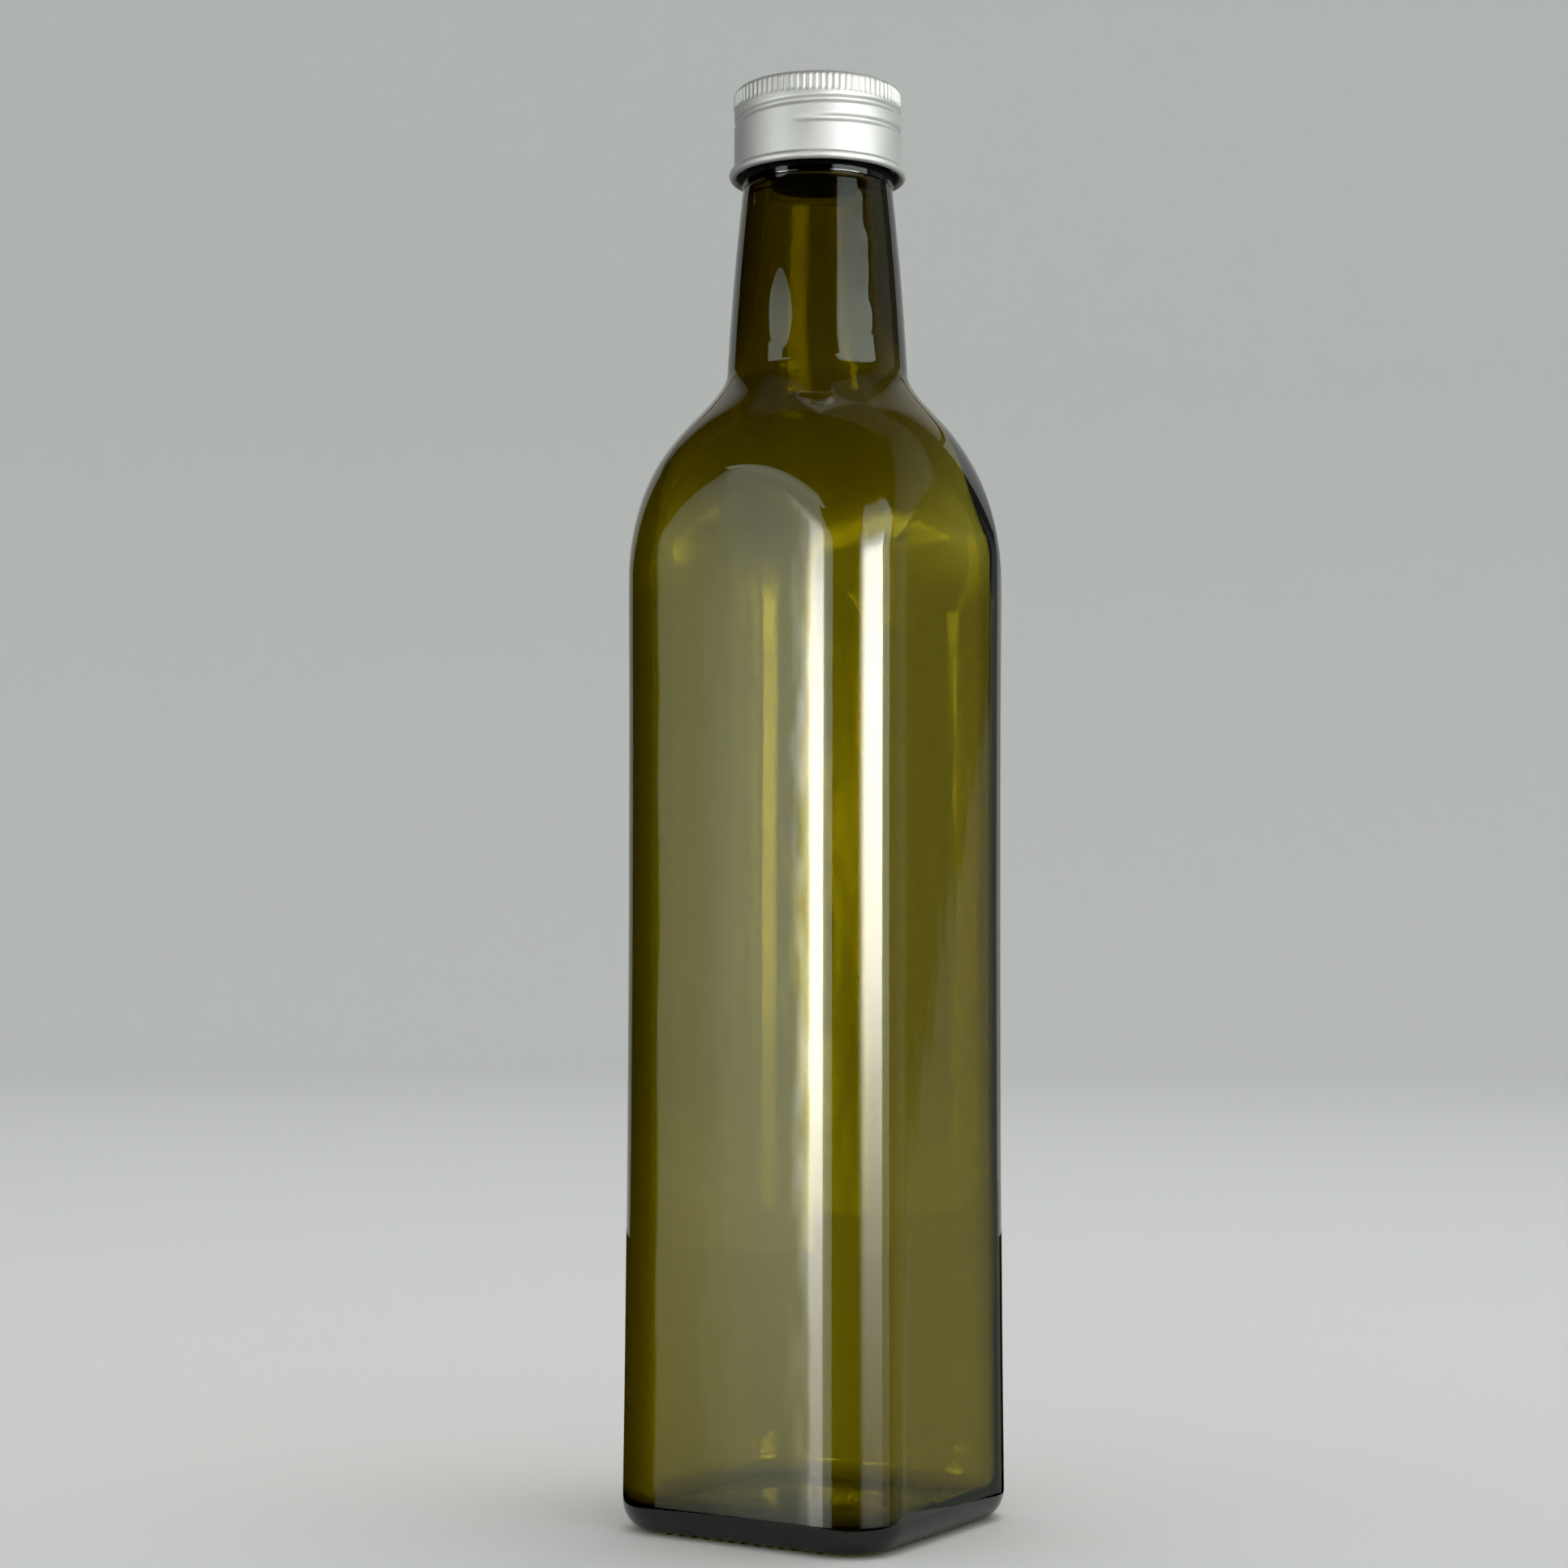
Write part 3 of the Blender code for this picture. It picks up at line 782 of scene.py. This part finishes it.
def light_panel(name, colour, azimuths, heights, strength, trim=((0, 0, 0),), gap=0.0):
    """A curved panel that shows in the glass and the metal only.

    azimuths and heights are lists of (degrees or metres, share of the strength). trim is a list of
    (height, degrees that the left edge is moved, and the right one). gap moves the panel outwards.
    """
    start, end = azimuths[0][0], azimuths[-1][0]
    low, high = heights[0][0], heights[-1][0]
    distance = PANEL_DISTANCE + gap
    profile = [(distance, z) for z in np.linspace(low, high, PANEL_ROWS)]
    panel = turned_patch(name, profile, start, end, PANEL_COLUMNS)
    levels, lefts, rights = zip(*trim)
    for vert in panel.data.vertices:
        share = vert.index // PANEL_ROWS / PANEL_COLUMNS
        left = np.interp(vert.co.z, levels, lefts)
        right = np.interp(vert.co.z, levels, rights)
        shift = math.radians(left + (right - left) * share)
        vert.co = Matrix.Rotation(shift, 4, "Z") @ vert.co
    across = [((a - start) / (end - start), share) for a, share in azimuths]
    upward = [((z - low) / (high - low), share) for z, share in heights]
    panel.data.materials.append(emission_material(name, colour, across, upward, strength))
    only_mirrored(panel)


def back_dome_profile():
    """The arc of the sky behind the bottle, from above the backdrop to the zenith."""
    turns = np.linspace(0.45, math.pi / 2, 20)
    return [(2.6 * math.cos(turn), 0.4 + 2.4 * math.sin(turn)) for turn in turns]


def make_sky(name, colour, profile, start, end, steps, across, upward, strength):
    """A dim part of the sky that shows in reflections only."""
    sky = turned_patch(name, profile, start, end, steps)
    sky.data.materials.append(emission_material(name, colour, across, upward, strength))
    sky.visible_transmission = False
    only_mirrored(sky)


def make_panels():
    """The panels that the bottle mirrors, from the camera's left round to its right.

    On each side in front a bright strip stands before a wide dim veil, which narrows at its top.
    The far right is dimmer still.
    """
    light_panel(
        "strip_left",
        STRIP_COLOUR,
        [(-61.7, 0), (-61.1, 0.3), (-60.3, 1), (-49, 1), (-46, 0.1), (-39, 0)],
        [(PANEL_FOOT, 0.11), (-0.115, 0.18), (-0.068, 0.27), (-0.02, 0.42), (0.02, 0.72), (0.05, 0.92),
         (0.09, 1), (0.2, 1), (0.264, 0.8), (0.29, 0.6), (0.315, 0.3), (0.345, 0.08), (0.372, 0)],
        20,
        gap=-0.004,
    )
    light_panel(
        "veil_left",
        VEIL_COLOUR,
        [(-66.9, 0), (-66.5, 0.42), (-64.6, 0.55), (-63.4, 0.86), (-62.2, 1), (-34, 1), (-30, 0.8)],
        [(PANEL_FOOT, 0.4), (0.0, 0.9), (0.1, 1), (0.2, 1), (0.3, 0.85), (0.33, 0.7), (0.45, 0.65),
         (0.5, 0.8)],
        2.5,
        trim=[(0.335, 0, 0), (0.37, 0, -8), (0.42, 0, -14), (0.5, 0, -16)],
    )
    light_panel(
        "window_left",
        VEIL_COLOUR,
        [(-66.9, 0.9), (-30, 0.9)],
        [(0.5, 1), (0.55, 0.85), (0.59, 0.45)],
        2.2,
        trim=[(0.5, 5, -16), (0.51, 1, -8), (0.536, -1, -3), (0.552, 0, -5), (0.566, 3, -8), (0.58, 7, -13),
              (0.588, 11, -19), (0.59, 13, -22)],
    )
    light_panel(
        "strip_right",
        STRIP_COLOUR,
        [(17, 0), (22, 0.25), (32, 1), (62.5, 1), (64, 0.05), (65, 0)],
        [(PANEL_FOOT, 0.015), (-0.115, 0.03), (-0.068, 0.07), (0.0, 0.17), (0.05, 0.36), (0.1, 0.7),
         (0.15, 0.9), (0.22, 1), (0.264, 0.92), (0.3, 0.85), (0.335, 0.7), (0.38, 0.4), (0.47, 0)],
        21,
        gap=-0.004,
    )
    light_panel(
        "veil_right",
        VEIL_COLOUR,
        [(21, 0), (25, 1), (79.5, 1), (80, 0)],
        [(PANEL_FOOT, 0.15), (0.0, 0.45), (0.1, 0.8), (0.35, 0.85), (0.5, 0.95)],
        3.0,
    )
    light_panel(
        "window_right",
        VEIL_COLOUR,
        [(24, 0), (27, 1), (79.5, 1), (80, 0)],
        [(0.5, 0.95), (0.55, 0.85), (0.6, 0.65), (0.66, 0.55), (0.72, 0.3)],
        3.0,
        trim=[(0.5, 3, -12), (0.512, 1, -6), (0.53, 0, -3), (0.58, 1, -7.5), (0.663, 4, -14),
              (0.72, 7, -22)],
    )
    light_panel(
        "side_right",
        VEIL_COLOUR,
        [(78, 0), (88, 0.8), (96, 1), (115.5, 1), (117, 0.25), (140, 0.25)],
        [(PANEL_FOOT, 1), (0.5, 1), (1.0, 0.6), (1.6, 0.3), (2.4, 0)],
        0.26,
        trim=[(0.5, 0, 0), (2.4, 25, 0)],
    )
    light_panel(
        "side_low",
        VEIL_COLOUR,
        [(114.1, 0), (114.6, 1), (140, 1)],
        [(PANEL_FOOT, 1), (0.30, 1), (0.36, 0)],
        0.22,
        trim=[(PANEL_FOOT, 0, 0), (0.36, 6.7, 6.7)],
        gap=-0.004,
    )
    make_sky("back_dome", (1, 1, 0.98), back_dome_profile(), GLOSS_SIDE, 360 - GLOSS_SIDE, 48,
             [(0, 0.3), (0.12, 1), (0.88, 1), (1, 0.3)], [(0, 1), (1, 1)], 0.42)
    make_sky("ceiling", (1, 1, 0.92), [(1e-4, CEILING_Z), (CEILING_RADIUS, CEILING_Z)], 88, 272, 64,
             [(0, 1), (1, 0.7)], [(0, 1), (0.8, 1), (1, 0)], 0.12)


def make_lights():
    """The mirrored panels, a soft light from above and an even pale sky."""
    make_panels()
    data = bpy.data.lights.new("top_light", "AREA")
    data.shape = "DISK"
    data.size = 1.2
    data.energy = 8
    lamp = bpy.data.objects.new("top_light", data)
    lamp.location = (0.3, 0.2, 1.9)
    lamp.visible_glossy = False
    lamp.visible_transmission = False
    bpy.context.scene.collection.objects.link(lamp)
    world = bpy.data.worlds.new("studio")
    bpy.context.scene.world = world
    world.use_nodes = True
    world.node_tree.nodes["Background"].inputs["Color"].default_value = (0.98, 1.0, 0.98, 1)
    world.node_tree.nodes["Background"].inputs["Strength"].default_value = 0.62
    world.cycles_visibility.glossy = False


def make_camera():
    """The photograph's camera, from its place and its pitch, yaw and roll."""
    pitch, yaw, roll = (math.radians(v) for v in (CAMERA_PITCH, CAMERA_YAW, CAMERA_ROLL))
    right = Vector((math.cos(yaw), math.sin(yaw), 0))
    ahead = Vector((-math.sin(yaw) * math.cos(pitch), math.cos(yaw) * math.cos(pitch), math.sin(pitch)))
    up = right.cross(ahead)
    rolled_right = right * math.cos(roll) - up * math.sin(roll)
    rolled_up = right * math.sin(roll) + up * math.cos(roll)
    axes = Matrix((rolled_right, rolled_up, -ahead)).transposed().to_4x4()
    place = Matrix.Translation((0, -CAMERA_DISTANCE, CAMERA_HEIGHT))
    data = bpy.data.cameras.new("camera")
    data.lens = CAMERA_LENS
    data.sensor_width = CAMERA_SENSOR
    data.clip_start = 0.01
    camera = bpy.data.objects.new("camera", data)
    camera.matrix_world = Matrix.Rotation(math.radians(CAMERA_AZIMUTH), 4, "Z") @ place @ axes
    bpy.context.scene.collection.objects.link(camera)
    bpy.context.scene.camera = camera


bpy.context.scene.view_settings.view_transform = "Standard"
make_camera()
make_stage()
make_lights()
make_glass()
make_cap()
